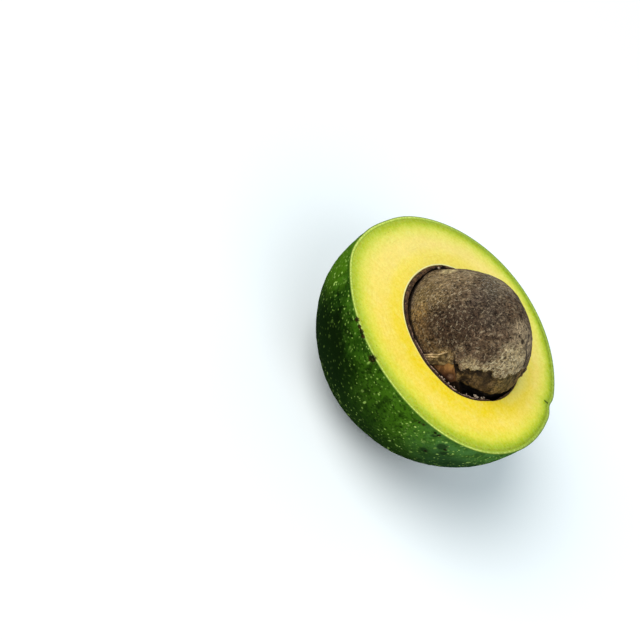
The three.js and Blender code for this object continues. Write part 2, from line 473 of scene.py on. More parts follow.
# Soft dark blotches low on the stem side: turn and rise in degrees, and reach.
BLOTCHES = ((-76, -4.5, 2.4), (-72.5, -7.5, 2.2), (-79, -13, 2.6), (-83, -1, 1.6))
# Bruises, some of them right across the rim: turn and rise in degrees, and reach.
BRUISES = (
    (-124.8, 1.2, 2.4), (-142.5, 2.2, 1.3), (-139, 2.2, 1.2), (-137, 2.3, 1.4), (-135, 2.1, 1.4),
    (-93.6, -0.9, 0.9), (-92, -0.4, 0.8), (-90, 0.2, 0.9), (-84, 0.6, 0.9), (-82, 0.7, 0.9),
    (-74, -5, 0.8), (-78, -13, 0.8),
)


def make_skin():
    inner = GLOBE_RADIUS - SKIN_THICKNESS
    quarter = math.pi / 2
    rim = math.asin((FACE_ABOVE_MIDDLE - RIM_ROUND) / GLOBE_RADIUS)
    inner_rim = math.asin((FACE_ABOVE_MIDDLE - FACE_ROUND) / inner)
    foot = math.sqrt(inner**2 - (MIDDLE_Z - SKIN_THICKNESS) ** 2)
    rest = -math.acos(REST_RADIUS / GLOBE_RADIUS)
    outside = arc(0, MIDDLE_Z, GLOBE_RADIUS, rest, rim, SKIN_RINGS)
    rim_radius = outside[-1][0] - RIM_ROUND
    edge = arc(rim_radius, FACE_Z - RIM_ROUND, RIM_ROUND, 0, quarter, SKIN_EDGE_RINGS)
    inside = arc(0, MIDDLE_Z, inner, inner_rim, -math.acos(foot / inner), SIDE_RINGS)
    inner_radius = inside[0][0] + FACE_ROUND
    inner_edge = arc(
        inner_radius, FACE_Z - FACE_ROUND, FACE_ROUND, quarter, 2 * quarter, RIM_RINGS
    )
    profile = [
        (0, 0), (REST_RADIUS / 2, 0), *outside, *edge[1:], *inner_edge, *inside[1:],
        (0, SKIN_THICKNESS),
    ]
    bm = turned(profile)
    for vert in bm.verts:
        plain = vert.co.copy()
        out = plain - GLOBE_MIDDLE
        outer_side = smooth(inner + 0.3, GLOBE_RADIUS - 0.2, out.length) * smooth(0.2, 3, plain.z)
        below_rim = smooth(FACE_Z + 0.1, FACE_Z - 1.5, plain.z)
        raised = bumpy(plain, SKIN_BUMPS) - SKIN_SUNK
        vert.co = in_fruit(plain) + out.normalized() * outer_side * below_rim * raised
    return finished(bm, "skin", "skin", "fruit_half", under_skin=depth_under_skin(bm))


def paint_skin():
    paint = Paint("avocado skin", Specular_IOR_Level=0, Coat_Roughness=0.25)

    def from_spot(turn, rise):
        """How far the place is from a spot on the skin, in millimetres."""
        return paint.distance(FRUIT_AXIS + GLOBE_MIDDLE + on_globe(turn, rise, GLOBE_RADIUS))

    # Uneven dark greens, painted lighter on the low stem side as light, mottled with nearly black
    # ones that are strengthened as painted shade towards the blossom side.
    slow, mottle = paint.noise(15, 4, 0.55), paint.noise(5, 5, 0.65)
    color = paint.mix(slow.between(0.38, 0.62), linear(28, 62, 8), linear(58, 98, 16))
    # Painted light: lighter green towards the low stem side.
    color = paint.mix(paint.toward(-70).between(0.3, 0.95) * 0.35, color, linear(74, 114, 20))
    lighter = paint.noise(3.4, 4, 0.6).between(0.5, 0.68) * 0.45
    color = paint.mix(lighter, color, linear(80, 120, 34))
    # Painted shade: the nearly black mottles are stronger towards the blossom side.
    mottle_and_painted_shade = 0.6 + paint.toward(178).between(0.6, 0.95) * 0.35
    color = paint.mix(mottle.between(0.52, 0.64) * mottle_and_painted_shade, color, linear(10, 30, 4))
    grain = paint.noise(1.2, 3, 0.65)
    color = paint.mix(grain.between(0.48, 0.66) * 0.7, color, linear(8, 28, 2))

    # Painted shade in dark patches, painted light on a shoulder, a pale painted sheen near the
    # front rim, and painted shade on the underside and low on the stem side.
    patchy = (paint.noise(8, 4) - 0.5) * 20
    # Painted shade: dark patches on the skin.
    painted_shade_masks = [
        (from_spot(turn, rise) + patchy).between(reach, reach * 0.3) * strength
        for turn, rise, reach, strength in PAINTED_SHADE_PATCHES
    ]
    for patch in painted_shade_masks:
        color = paint.mix(patch, color, linear(6, 16, 1))
    # Painted light on a shoulder.
    shoulder = (from_spot(-178, -8) + patchy).between(18, 5) * 0.6
    color = paint.mix(shoulder, color, linear(70, 108, 10))
    # Painted sheen: a pale bluish green near the front rim.
    painted_sheen = paint.toward(-56).between(0.76, 0.98) * (0.3 + mottle.between(0.6, 0.4) * 0.55)
    color = paint.mix(painted_sheen, color, linear(70, 112, 54))
    # Painted shade on the underside.
    painted_underside_shade = paint.height_between(MIDDLE_Z - 2, MIDDLE_Z - 28)
    color = paint.mix(painted_underside_shade * 0.88, color, linear(12, 30, 6))
    # Painted shade low on the stem side.
    painted_stem_side_shade = paint.height_between(MIDDLE_Z - 1, MIDDLE_Z - 11)
    painted_stem_side_shade = paint.toward(-50).between(0.8, 0.97) * painted_stem_side_shade
    color = paint.mix(painted_stem_side_shade * 0.75, color, linear(16, 40, 20))

    # Breathing dots: yellow-green corky specks, some run together into short streaks.
    bent = paint.bent(1.4, 0.9)

    def dot_layer(size, fill, sparse, squeeze):
        at = paint.vector("MULTIPLY", bent, (1, 1, squeeze))
        chosen = paint.cells(size, at, output="Color").between(sparse, sparse + 0.02)
        return paint.cells(size, at).between(fill, fill * 0.5) * chosen

    dots = paint.most(dot_layer(*layer) for layer in DOTS)
    strength = 0.25 + paint.noise(3.5, 2).between(0.4, 0.62) * 0.75
    dots = dots * strength * (0.35 + paint.noise(9, 2).between(0.3, 0.5) * 0.65)
    # The dots are dimmer under the painted shade.
    dots = dots * (1 - painted_underside_shade * 0.3) * (1 - paint.most(painted_shade_masks) * 0.65)
    dot_color = paint.mix(slow.between(0.4, 0.6), linear(112, 146, 46), linear(158, 188, 88))
    color = paint.mix(dots, color, dot_color)

    # Brown scars, scattered.
    far_side = paint.toward(50).between(0.05, 0.6)
    scars = (paint.noise(6, 6, 0.72) + far_side * 0.05).between(0.66, 0.73)
    scar_color = paint.mix(grain.between(0.4, 0.6), linear(20, 12, 8), linear(66, 42, 20))
    color = paint.mix(scars * 0.85, color, scar_color)

    # The cut edge of the rind, pale on the low side and greyer towards the stem.
    top = paint.height_between(FACE_Z - 0.2, FACE_Z - 0.05)
    under_skin, fibrous = paint.attribute("under_skin"), paint.noise(0.9, 3)
    rind = paint.mix(fibrous.between(0.35, 0.7), linear(172, 192, 80), linear(212, 222, 118))
    far_rind = paint.mix(fibrous.between(0.4, 0.7), linear(132, 152, 62), linear(172, 188, 92))
    rind = paint.mix(paint.toward(30).between(-0.35, 0.6), rind, far_rind)
    edge = paint.mix(under_skin.between(0.15, 0.6), linear(84, 112, 34), rind)
    edge = paint.mix(under_skin.between(0.8, 1.2) * 0.8, edge, linear(150, 174, 50))
    color = paint.mix(top, color, edge)

    for turn, rise, reach in BLOTCHES:
        distance = from_spot(turn, rise) + (mottle - 0.5) * 6 + (grain - 0.5) * 2
        blotch = distance.between(reach, reach * 0.4) * 0.75
        color = paint.mix(blotch, color, linear(14, 30, 14))
    bruise_color = paint.mix(grain.between(0.46, 0.62), linear(11, 5, 3), linear(52, 30, 12))
    for turn, rise, reach in BRUISES:
        distance = from_spot(turn, rise) + (paint.noise(1.1, 4, 0.7) - 0.5) * reach * 1.6
        color = paint.mix(distance.between(reach, reach * 0.6) * 0.9, color, bruise_color)

    relief = paint.bump(paint.noise(1.3, 4, 0.6), 0.14)
    relief = paint.bump(paint.noise(0.4, 2), 0.03, relief)
    relief = paint.bump(dots, 0.06, relief)
    paint.feed(
        Base_Color=color,
        Roughness=0.36 + mottle * 0.2 + top * 0.15,
        Coat_Weight=0.012 + dots * 0.15 + far_side * 0.3,
        Normal=relief,
    )
    return paint.material


skin = make_skin()
skin.data.materials.append(paint_skin())

# --------------
# Seed coat. A dry, brown, papery cup between flesh and seed, thickest on the blossom side. The
# knife left its edge a little proud of the face, and tore it thin and ragged on the near side.
# --------------
GAP = 0.3
LEAN = math.radians(-24)
LEAN_WAY = Vector((math.cos(LEAN), math.sin(LEAN), 0))
COAT_HOLLOW_RADIUS = 27.0
COAT_HOLLOW_SHIFT = 0.95
COAT_STAND = 0.2
COAT_RINGS, CROWN_RINGS = 30, 8
CROWN_HEIGHT = 0.2
# Worn or torn thin close under the face: turn in degrees, width of the stretch, and how far.
COAT_WORN = ((132, 15, 0.9), (-43, 8, 1.0))
# Roughness of the inner side of its edge: changes to a millimetre, and height.
COAT_BUMPS = ((0.5, 0.3), (1.4, 0.15))


def make_coat():
    outer = CAVITY_RADIUS - GAP
    stand = FACE_ABOVE_MIDDLE + COAT_STAND
    down = -math.pi / 2
    outside = arc(0, MIDDLE_Z, outer, down, math.asin(stand / outer), COAT_RINGS)
    inner_top = math.asin(stand / COAT_HOLLOW_RADIUS)
    inside = arc(0, MIDDLE_Z, COAT_HOLLOW_RADIUS, inner_top, down, COAT_RINGS)
    (far, top), (near, _) = outside[-1], inside[0]
    crown = [
        (
            far + (near - far) * i / CROWN_RINGS,
            top + CROWN_HEIGHT * math.sin(math.pi * i / CROWN_RINGS),
        )
        for i in range(1, CROWN_RINGS)
    ]
    bm = turned([*outside, *crown, *inside])
    inwards = []
    for vert in bm.verts:
        depth = (vert.co - GLOBE_MIDDLE).length
        inward = min(1, max(0, (outer - depth) / (outer - COAT_HOLLOW_RADIUS)))
        way, _ = outward(vert.co, Vector((0, 0, 0)))
        thick_side = -way.dot(LEAN_WAY)
        upper = smooth(FACE_Z - 2.5, FACE_Z, vert.co.z)
        turn = math.degrees(math.atan2(way.y, way.x))
        place = vert.co + CAVITY_AXIS + LEAN_WAY * COAT_HOLLOW_SHIFT * inward
        place += way * upper * (lip_swelling(way) + 0.25 * (1 - inward))
        worn = 0.8 * smooth(-0.2, 0.5, thick_side)
        for at, width, amount in COAT_WORN:
            worn += amount * hill(turn - at, width)
        place += way * upper * inward * worn
        # The edge is more ragged, and lower, where the coat is thin.
        torn = smooth(0.1, -0.5, thick_side)
        ragged = bumpy(place, ((0.35, 0.3), (0.9, 0.16 + 0.3 * torn)))
        place.z += upper * (0.1 * thick_side + ragged - 0.1 * torn)
        place += way * upper * inward * bumpy(place, COAT_BUMPS)
        vert.co = place
        inwards.append(inward)
    return finished(bm, "seed_coat_lining", "seed_coat", "seed_coat", inward=inwards)


def paint_coat():
    paint = Paint("seed coat", Specular_IOR_Level=0.2)
    inward, torn_side = paint.attribute("inward"), paint.toward(-95)
    mottle = paint.noise(1.5, 5, 0.7)
    color = paint.mix(mottle.between(0.35, 0.66), linear(34, 21, 13), linear(106, 76, 48))
    color = paint.mix(paint.noise(1, 2, 0.6).between(0.58, 0.72) * 0.6, color, linear(160, 130, 98))
    color = paint.mix(paint.noise(1.2, 3, 0.6).between(0.46, 0.36) * 0.7, color, linear(22, 13, 8))
    # Painted shade: near black low on the inner wall, and along the coat's inner and outer edges
    # where they face the gaps.
    painted_coat_shade_below_face = paint.height_between(FACE_Z + 0.1, FACE_Z - 0.6) * inward.between(0.5, 0.9)
    dark = inward.between(0.84, 0.98) + inward.between(0.16, 0.02) * 0.7 + painted_coat_shade_below_face
    color = paint.mix(dark.math("MINIMUM", 1.0) * 0.92, color, linear(14, 8, 5))
    torn = torn_side.between(0.1, 0.5) * inward.between(0.6, 0.4) * 0.6
    color = paint.mix(torn, color, linear(38, 22, 15))
    # Pale broken dashes along the inner edge on the torn side: crumbs, and a painted highlight
    # where the torn edge catches the light.
    crumbs_and_painted_highlight = inward.between(0.4, 0.55) * inward.between(0.9, 0.75)
    crumbs_and_painted_highlight = crumbs_and_painted_highlight * torn_side.between(0.3, 0.5) * paint.noise(1.5, 3, 0.7).between(0.4, 0.56)
    color = paint.mix(crumbs_and_painted_highlight * 0.8, color, linear(186, 156, 138))
    relief = paint.bump(paint.noise(0.8, 4, 0.7), 0.3)
    paint.feed(Base_Color=color, Roughness=0.6 + mottle * 0.25, Normal=relief)
    return paint.material


coat = make_coat()
coat.data.materials.append(paint_coat())

# --------------
# Seed. One round stone with a dry fibrous skin of its own, brown, grey and tan. Low on the front
# a strip of that skin is torn off, which bares a darker hollow and a smooth orange-brown spot.
# --------------
SEED_RADIUS = 26.45
SEED_FOOT_DEPTH = 26.6
SEED_SHIFT = 1.45
SEED_LUMP = 0.3
SEED_CENTRE = CAVITY_AXIS + LEAN_WAY * SEED_SHIFT + GLOBE_MIDDLE
# A degree's length on the seed's surface, in millimetres.
DEGREE = math.pi / 180 * SEED_RADIUS
# Noise in the seed's shape, in the torn edge's line and in the fibres: pace and height.
SEED_BUMPS = ((4, 0.3), (11, 0.16))
TEAR_BUMPS = ((9, 0.9), (24, 0.8))
FIBRE_BUMPS = ((26, 0.08), (50, 0.06))
# The upper edge of the tear: turn, rise, both in degrees as seen from the seed's centre.
TEAR = (
    (-117, -3), (-112, 5), (-108, 11), (-105, 15), (-101, 19), (-98, 22), (-95, 20.5),
    (-92, 19.5), (-90, 21.5), (-88, 25.5), (-84, 25.5), (-80, 28.5), (-77, 30), (-74, 31.5),
    (-69, 34.5), (-65, 31), (-61, 27), (-57, 28), (-53, 29.5), (-48, 31.5), (-41, 33),
    (-33, 33.5), (-27, 34), (-18, 32), (-10, 22), (-4, 5), (0, -3),
)
CRACK_TOP, CRACK_FOOT = (-106, 25), (-89, 11)
# A wrinkle down the right side: its turns and rises.
CREASE = ((-1, 57), (-15, 54), (-19, 49), (-19, 43), (-24, 37))
CREASE_DEPTH, CREASE_WIDTH, CREASE_FAR = 0.3, 0.6, 9.0
SHOULDER, SHOULDER_HEIGHT, SHOULDER_WIDTH = on_globe(149, 9, 1), 1.3, 0.2
FLAT, FLAT_DEPTH, FLAT_WIDTH = on_globe(118, 37, 1), 0.5, 0.3


def tear_height(turn):
    """The rise of the tear's upper edge at a turn, far below the seed's girth beside the tear."""
    for (start, low), (end, high) in zip(TEAR, TEAR[1:]):
        if start <= turn <= end:
            return low + (high - low) * (turn - start) / (end - start)
    return -30


def seed_relief(way):
    """How far the seed's surface stands off its plain shape, how far it is above the tear, and
    how far it is from the crack's line, all in millimetres."""
    turn, rise = math.degrees(math.atan2(way.y, way.x)), math.degrees(math.asin(way.z))
    shown = smooth(0, 0.5, way.z)
    level = math.sqrt(max(0, 1 - way.z**2))
    lump = SEED_LUMP * shown * level * math.cos(3 * math.radians(turn) + 1)
    lump += shown * (bumpy(way, SEED_BUMPS) - 0.12)
    shoulder = SHOULDER_HEIGHT * hill((way - SHOULDER).length, SHOULDER_WIDTH)
    lump += shoulder * smooth(-0.25, 0, way.z)
    lump -= FLAT_DEPTH * hill((way - FLAT).length, FLAT_WIDTH)
    above = (rise - tear_height(turn)) * DEGREE * 0.9
    above += bumpy(way, TEAR_BUMPS)
    run = (CRACK_FOOT[0] - CRACK_TOP[0]) / (CRACK_TOP[1] - CRACK_FOOT[1])
    beside = (turn - CRACK_TOP[0] - (CRACK_TOP[1] - rise) * run) * DEGREE * 0.6
    torn = smooth(0.3, -0.3, above) * smooth(-30, -8, rise)
    hollow = smooth(-0.4, 0.6, beside)
    right_part = smooth(-66, -50, turn)
    low = smooth(13, 4, rise) * smooth(-91, -85, turn) * smooth(-24, -36, turn)
    low *= 2.6 - 1.4 * right_part
    depth = 0.4 + hollow * (0.9 - 0.7 * right_part + 0.5 * noise.noise(way * 14)) + low
    lip = 0.3 * hill(above - 0.6, 0.6) * hollow * (0.6 + noise.noise(way * 16))
    lip *= smooth(-98, -92, turn)
    fibres = bumpy(way, FIBRE_BUMPS) * (1 - torn * 0.5)
    return lump + fibres + max(0, lip) - depth * torn, above, beside


def seed_point(way, lift=0.0):
    """The place on the seed's surface in a direction from its centre, or a little above it."""
    point = way * (SEED_RADIUS + seed_relief(way)[0] + lift)
    if way.z < 0:
        point.z *= SEED_FOOT_DEPTH / SEED_RADIUS
    return SEED_CENTRE + point


def from_crease(way):
    """How far a direction is from the wrinkle, in millimetres, up to where it no longer shows."""
    corners = [on_globe(*corner, 1) for corner in CREASE]
    found = CREASE_FAR
    for start, end in zip(corners, corners[1:]):
        along = (way - start).dot(end - start) / (end - start).length_squared
        nearest = start.lerp(end, min(1, max(0, along)))
        found = min(found, (way - nearest).length * SEED_RADIUS)
    return found


def make_seed():
    bm = bmesh.new()
    bmesh.ops.create_icosphere(bm, subdivisions=7, radius=1)
    above_tear, beside_crack, crease = [], [], []
    for vert in bm.verts:
        way = vert.co.normalized()
        _, above, beside = seed_relief(way)
        above_tear.append(above)
        beside_crack.append(beside)
        crease.append(from_crease(way))
        vert.co = seed_point(way, -CREASE_DEPTH * hill(crease[-1], CREASE_WIDTH))
    return finished(
        bm, "stone", "seed", "seed",
        above_tear=above_tear, beside_crack=beside_crack, crease=crease,
    )


# Soft patches of colour, in the order laid: tan on the far shoulder, golden beside the coat, dark
# brown and grey on top, a painted sheen and painted light high on the seed, and pale low on the
# near side. Each: turn and rise in degrees, reach in millimetres, strength and colour, and how
# ragged it is where it isn't as ragged as the rest.
SEED_COLOUR_AND_LIGHT_PATCHES = (
    (176, 32, 17, 0.9, (122, 103, 76)),
    (-155, 11, 6.4, 0.85, (142, 114, 70)),
    (-173, 14, 5.5, 0.7, (108, 92, 62)),
    (-146, 11, 7, 0.7, (112, 86, 50)),
    (-160, 32, 7, 0.7, (88, 72, 46)),
    (-131, 10, 7, 0.6, (90, 68, 38)),
    (-137, 26, 9, 0.85, (50, 36, 24)),
    (-120, 34, 8, 0.6, (60, 45, 31)),
    (-148, 64, 13, 0.7, (66, 56, 48)),
    (-112, 70, 10, 0.6, (62, 52, 42)),
    (-88, 49, 6, 0.6, (62, 48, 32)),
    (-132, 44, 11, 0.8, (50, 37, 27)),
    (-117, 32, 7, 0.6, (46, 33, 21)),
    (-170, 47, 8, 0.6, (66, 51, 36)),
    (-178, 21, 6, 0.6, (90, 72, 44)),
    # The next six are painted light: a grey-blue sheen, then pale lit fuzz high on the seed.
    (140, 72, 8, 0.5, (86, 78, 64)),
    (118, 53, 6, 0.8, (130, 118, 92)),
    (145, 44, 5, 0.8, (132, 116, 88)),
    (149, 27, 4.5, 0.95, (176, 158, 118), 0.5),
    (98, 66, 5, 0.65, (124, 109, 85)),
    (-48, 72, 5, 0.35, (106, 91, 73)),
    (-120, 17, 5, 0.6, (62, 47, 28), 0.5),
    (-22, 58, 11, 0.9, (144, 126, 100)),
)
# Patches laid over the pale band along the tear.
LATE_PATCHES = (
    (-42, 46, 8, 0.9, (152, 134, 100)),
    (-92, 28.5, 3.5, 0.7, (150, 131, 98), 0.5),
    (-110, 17, 4.5, 0.9, (112, 92, 58), 0.4),
)
# Dark pits: turn and rise in degrees, and reach.
PITS = ((-28, 59, 1.6), (-60, 46.5, 1.0), (-75, 50, 1.2), (-35, 64, 0.9), (-23, 38, 1.3))
# Patches under the tear: right of the crack, under and over its grain, then left of it, and a
# painted highlight left of it.
HOLLOW_PATCHES = (
    (-66, 17, 6, 0.3, (104, 80, 48), 0.6),
    (-44, 24, 8, 0.5, (94, 80, 46), 0.5),
)
HOLLOW_MARKS = (
    (-63.5, 27, 1.7, 0.8, (34, 24, 26), 0.12),
    (-67, 23, 7.5, 0.7, (50, 38, 25), 0.4),
    (-24, 12, 3.5, 0.6, (122, 103, 66), 0.4),
)
BARE_PATCHES = (
    (-95, 3, 6.5, 0.95, (50, 24, 14), 0.2),
    (-105, 16, 5, 0.5, (142, 102, 60), 0.25),
    (-102, 19, 3, 0.5, (156, 118, 66), 0.25),
)
# Painted highlight on the bare spot.
BARE_PAINTED_HIGHLIGHT = ((-94, 9.5, 1.5, 0.4, (136, 104, 84), 0.15),)
# Ways that fibres run.
FELT_WAYS = ((0.77, 0.64, 0), (0.3, 0.75, 0.6), (0.9, -0.2, 0.4), (-0.4, 0.5, 0.75))
LONG_WAYS = ((0.45, 0.85, 0.28), (0.9, 0.3, 0.3), (0.1, 0.75, 0.65))
HAIR_WAYS = ((0.45, 0.85, 0.28), (-0.4, 0.5, 0.75), (0.9, 0.1, 0.4))
STREAK_WAY, GROOVE_WAY = (0.67, 0.46, 0.48), (0.56, -0.27, -0.78)


def paint_seed():
    paint = Paint("seed skin", Specular_IOR_Level=0.1)
    above = paint.attribute("above_tear") + (paint.noise(0.9, 3, 0.75) - 0.5) * 2.6
    beside = paint.attribute("beside_crack") + (paint.noise(2.5, 4, 0.6) - 0.5) * 1.4
    patchy = (paint.noise(6, 6, 0.72) - 0.5) * 13

    def near(turn, rise, reach, ragged=1.0):
        """1 about a direction from the seed's centre, 0 beyond this reach in millimetres."""
        spot = SEED_CENTRE + on_globe(turn, rise, SEED_RADIUS)
        return (paint.distance(spot) + patchy * ragged).between(reach, reach * 0.3)

    def patched(color, patches):
        for turn, rise, reach, strength, tint, *ragged in patches:
            color = paint.mix(near(turn, rise, reach, *ragged) * strength, color, linear(*tint))
        return color

    color = paint.noise(8, 4, 0.6).between(0.35, 0.65)
    color = paint.mix(color, linear(68, 53, 39), linear(92, 74, 57))
    color = patched(color, SEED_COLOUR_AND_LIGHT_PATCHES)
    left_part = near(-84, 22, 17, 0.2)
    fringe = above.between(4.9, 1.2) * beside.between(1, 4.5) * near(-83, 28, 14, 0.5) * 0.8
    pale = (fringe + near(-66, 38, 6) * 0.4 + near(-48, 41, 11) * 1.2).math("MINIMUM", 1.0)
    color = paint.mix(pale * 0.9, color, linear(116, 98, 70))
    color = patched(color, LATE_PATCHES)
    dusky = paint.noise(3, 4, 0.65).between(0.52, 0.66)
    woolly = paint.noise(3.6, 4, 0.65).between(0.54, 0.7)
    color = paint.mix(dusky * (0.68 - pale * 0.35), color, linear(46, 33, 23))
    color = paint.mix(woolly * (0.3 - pale * 0.1), color, linear(150, 130, 100))

    # Felt of short crossing fibres over dark gaps: it lightens and darkens what it lies on.
    coarse, fine = paint.noise(1.3, 2, 0.7), paint.noise(0.75, 1)
    felt = paint.strands(0.8, FELT_WAYS, 2.2, 0.53, 0.68)
    grain = coarse * 1.3 + fine * 1.2 + felt * 0.4 - 0.86
    color = paint.shaded(color, grain, (0.04, 0.03, 0.02), (2.6, 2.54, 2.46))
    gaps = coarse.between(0.34, 0.26) * (0.15 + dusky * 0.85)
    color = paint.mix(gaps * 0.6, color, linear(22, 15, 10))
    long_fibre = paint.strands(0.8, LONG_WAYS, 4, 0.55, 0.64)
    long_gap = paint.strands(0.9, LONG_WAYS, 3, 0.58, 0.7)
    color = paint.mix(long_gap * pale * 0.6, color, linear(58, 44, 28))
    color = paint.mix(long_fibre * pale * 0.8, color, linear(214, 194, 154))
    hairs = paint.strands(0.75, HAIR_WAYS, 4, 0.6, 0.7) * (0.45 + near(176, 34, 17) * 0.45)
    color = paint.mix(hairs, color, linear(182, 162, 132))
    # Painted glints, grey-blue, high on the far side of the seed.
    glint = fine.between(0.56, 0.68) * near(130, 70, 12)
    color = paint.mix(glint * 0.7, color, linear(150, 144, 130))
    for turn, rise, reach in PITS:
        color = paint.mix(near(turn, rise, reach, 0.08) * 0.9, color, linear(24, 14, 9))
    # Painted shade along the wrinkle.
    crease = paint.attribute("crease") + (paint.noise(1.5, 3, 0.7) - 0.5) * 1.6
    color = paint.mix(crease.between(1.0, 0.3) * 0.75, color, linear(52, 42, 38))

    # Under the tear, right of the crack: a mottled dark hollow, streaked along its length.
    under = paint.noise(3.4, 4, 0.65).between(0.4, 0.6)
    under = paint.mix(under, linear(38, 27, 15), linear(100, 78, 48))
    under = patched(under, HOLLOW_PATCHES)
    under = paint.shaded(under, grain, (0.2, 0.18, 0.15), (2.2, 2.2, 2.2))
    streaks = paint.noise(1.2, 3, 0.65, at=paint.drawn_out(STREAK_WAY, 3.5)).between(0.3, 0.7)
    streaked = paint.shaded(under, streaks, (0.45, 0.44, 0.42), (1.5, 1.5, 1.5))
    under = paint.mix(near(-56, 20, 10, 0.4), under, streaked)
    under = patched(under, HOLLOW_MARKS)
    shadow = above.between(-2.4, -0.6) * left_part
    under = paint.mix(shadow * 0.8, under, linear(24, 16, 11))

    # Left of it: a smooth orange-brown spot with fine grooves and a painted highlight. Both get
    # painted shade low beside the coat.
    bare = paint.mix(paint.noise(4, 3).between(0.3, 0.7), linear(92, 60, 33), linear(126, 86, 50))
    bare = patched(bare, BARE_PATCHES)
    grooves = paint.noise(1.3, 3, 0.6, at=paint.drawn_out(GROOVE_WAY, 4)).between(0.35, 0.65)
    bare = paint.mix(0.8, bare, paint.shaded(bare, grooves, (0.55, 0.5, 0.46), (1.4, 1.4, 1.4)))
    # Painted highlight.
    bare = patched(bare, BARE_PAINTED_HIGHLIGHT)
    bare = paint.mix(coarse.between(0.6, 0.75) * 0.3, bare, linear(160, 124, 84))
    under = paint.mix(beside.between(0.3, -0.5), under, bare)
    # Painted shade low beside the coat, in the gap.
    foot = paint.height_between(FACE_Z + 3.4, FACE_Z + 1.3) * beside.between(-0.2, 0.8)
    painted_gap_shade_color = paint.mix(coarse.between(0.55, 0.75), linear(8, 5, 4), linear(46, 42, 48))
    under = paint.mix(foot * 0.95, under, painted_gap_shade_color)
    color = paint.mix(above.between(0.15, -0.15), color, under)

    # Painted shade low by the cut face, a frayed pale edge along the tear, partly a painted
    # highlight, and the crack itself.
    # Painted shade on the seed just above and below the cut face.
    painted_shade_by_face = paint.height_between(FACE_Z + 0.6, FACE_Z - 0.1)
    color = paint.mix(painted_shade_by_face * 0.85, color, linear(16, 10, 7))
    # The frayed edge's pale fibres, with a painted highlight where the edge catches the light.
    frayed_edge_and_highlight = above.between(-0.1, 0.3) * above.between(2.2, 0.8) * beside.between(1.5, 4)
    frayed_edge_and_highlight = frayed_edge_and_highlight * paint.noise(1.3, 2, 0.6).between(0.46, 0.6) * left_part
    color = paint.mix(frayed_edge_and_highlight * 0.7, color, linear(176, 156, 118))
    crack = beside.math("ABSOLUTE").between(0.45, 0.15) * near(-98, 18, 6.5, 0.1)
    color = paint.mix(crack * 0.9, color, linear(14, 9, 6))

    skin_only = above.between(-0.3, 0.2)
    relief = paint.bump(coarse, 0.5)
    relief = paint.bump(felt * skin_only, 0.25, relief)
    relief = paint.bump(long_fibre * skin_only, 0.2, relief)
    paint.feed(Base_Color=color, Roughness=0.66 + paint.noise(2, 3) * 0.25, Normal=relief)
    return paint.material


stone = make_seed()
stone.data.materials.append(paint_seed())

# --------------
# Flap. A scrap of the seed's own papery skin, lifted and folded in fanned pleats beside the tear.
# It is thin, and still grown on to the seed along its upper edge and at both ends.
# --------------
# Its upper and lower corners at one end, then at the other: turn and rise in degrees.
FLAP_CORNERS = ((-124, 1.5), (-118.5, -0.5), (-110, 26), (-104, 18))
FLAP_LONG, FLAP_WIDE = 60, 40
# Each ridge: its place across the flap, its height and where it runs out, as shares.
FLAP_RIDGES = ((0.1, 1.0, 0.85), (0.33, 1.1, 0.6), (0.55, 0.7, 0.5), (0.76, 0.6, 0.4))
FLAP_RIDGE_WIDTH = 0.085
FLAP_BELLY = 3.0
FLAP_THICKNESS = 0.22


def make_flap():
    bm = bmesh.new()
    pleats = []
    bmesh.ops.create_grid(bm, x_segments=FLAP_LONG, y_segments=FLAP_WIDE, size=0.5)
    near_top, near_low, far_top, far_low = (Vector((*corner, 0)) for corner in FLAP_CORNERS)
    for vert in bm.verts:
        along, across = vert.co.x + 0.5, vert.co.y + 0.5
        spot = near_top.lerp(far_top, along).lerp(near_low.lerp(far_low, along), across)
        belly = math.sin(math.pi * along)
        spot.y -= belly * across * FLAP_BELLY
        spot.x += noise.noise(Vector((along * 3, across * 2, 5))) * 1.2
        wander = across + 0.1 * noise.noise(Vector((along * 4, across * 2, 1))) + 0.06 * along
        pleat = sum(
            height * hill(wander - at, FLAP_RIDGE_WIDTH) * smooth(end + 0.2, end - 0.2, along)
            for at, height, end in FLAP_RIDGES
        )
        pleats.append(pleat)
        raised = pleat * 0.7 + 0.5 * across**2 * belly
        crumpled = 0.12 * noise.noise(Vector((along * 14, across * 7, 9)))
        ends = smooth(1.0, 0.8, along), smooth(-0.02, 0.1, along)
        lift = -0.35 + min(smooth(0, 0.12, across + 0.02), *ends) * (0.45 + raised + crumpled)
        way = on_globe(spot.x, spot.y, 1)
        # It bridges the tear rather than sinking into it.
        smooth_ground = max(0, -seed_relief(way)[0] - 0.2)
        vert.co = seed_point(way, lift + smooth_ground)
    bmesh.ops.solidify(bm, geom=bm.verts[:] + bm.edges[:] + bm.faces[:], thickness=FLAP_THICKNESS)
    bmesh.ops.recalc_face_normals(bm, faces=bm.faces)
    return finished(bm, "skin_flap", "seed", "seed", pleat=pleats * 2)


def paint_flap():
    paint = Paint("papery flap", Specular_IOR_Level=0.15)
    streak = paint.noise(0.9, 3, 0.65, at=paint.drawn_out((0.6, 0.5, 0.6), 4))
    ridge = paint.attribute("pleat") + (streak - 0.5) * 1.1
    color = paint.noise(1.8, 4, 0.7).between(0.4, 0.6)
    color = paint.mix(color, linear(64, 49, 26), linear(124, 102, 66))
    # Painted highlight along the pleats' crests, broken up, and painted shade in the folds between
    # them.
    broken_painted_highlight = 0.2 + paint.noise(1.4, 3, 0.7).between(0.4, 0.56) * 0.8
    color = paint.mix(ridge.between(0.35, 0.85) * broken_painted_highlight, color, linear(200, 170, 128))
    color = paint.mix(ridge.between(0.15, -0.15) * 0.75, color, linear(46, 34, 18))
    relief = paint.bump(streak, 0.2)
    paint.feed(Base_Color=color, Roughness=0.65 + streak * 0.2, Normal=relief)
    return paint.material


